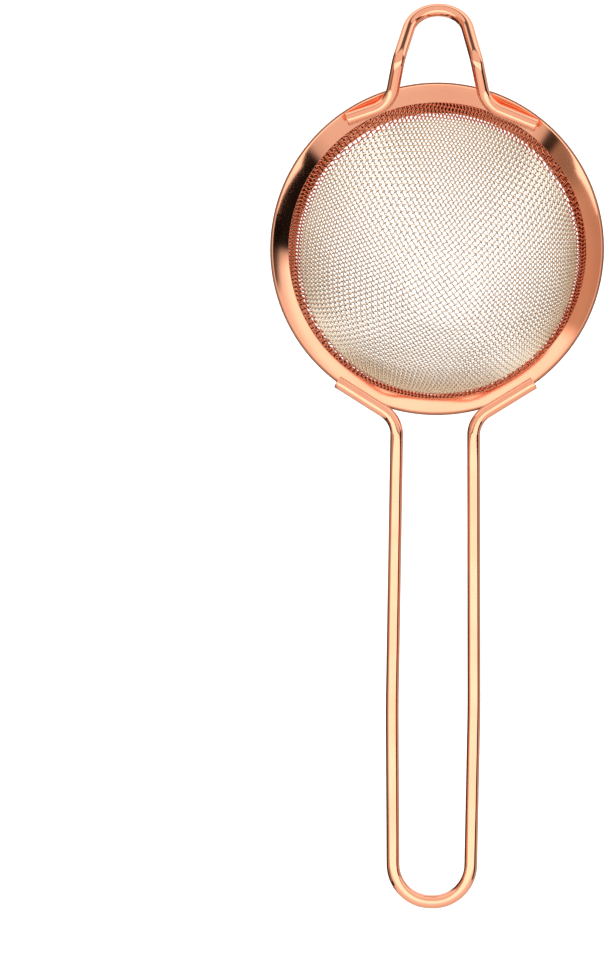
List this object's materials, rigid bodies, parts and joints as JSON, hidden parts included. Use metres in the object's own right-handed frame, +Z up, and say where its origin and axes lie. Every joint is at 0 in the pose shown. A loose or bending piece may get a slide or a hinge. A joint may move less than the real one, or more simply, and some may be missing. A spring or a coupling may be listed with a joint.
{
  "type": "conical mesh strainer",
  "caption": "Fine-mesh cocktail strainer: a bullet-shaped woven wire cone clamped in a folded, funnel-shaped rim band, with a long U-shaped wire handle and a kinked wire hook.",
  "frame": {"origin": "centre of the rim, level with the top of its folded edge", "axes": "+Z up, out of the bowl's mouth; the handle runs along -Y and the hook along +Y; X across the handle"},
  "size_m": [0.083, 0.2238, 0.0653],
  "materials": {
    "plated_sheet": "polished copper plate on steel sheet",
    "plated_mesh": "bright copper plate on woven steel wire",
    "plated_wire": "mirror-polished copper plate on steel wire",
    "plated_weld": "copper plate over weld metal"
  },
  "bodies": {
    "root": {"rim_band": "plated_sheet", "mesh_bowl": "plated_mesh", "handle_wire": "plated_wire", "hook_wire": "plated_wire", "handle_weld_left": "plated_weld", "handle_weld_right": "plated_weld", "hook_weld_left": "plated_weld", "hook_weld_right": "plated_weld"}
  },
  "joints": []
}
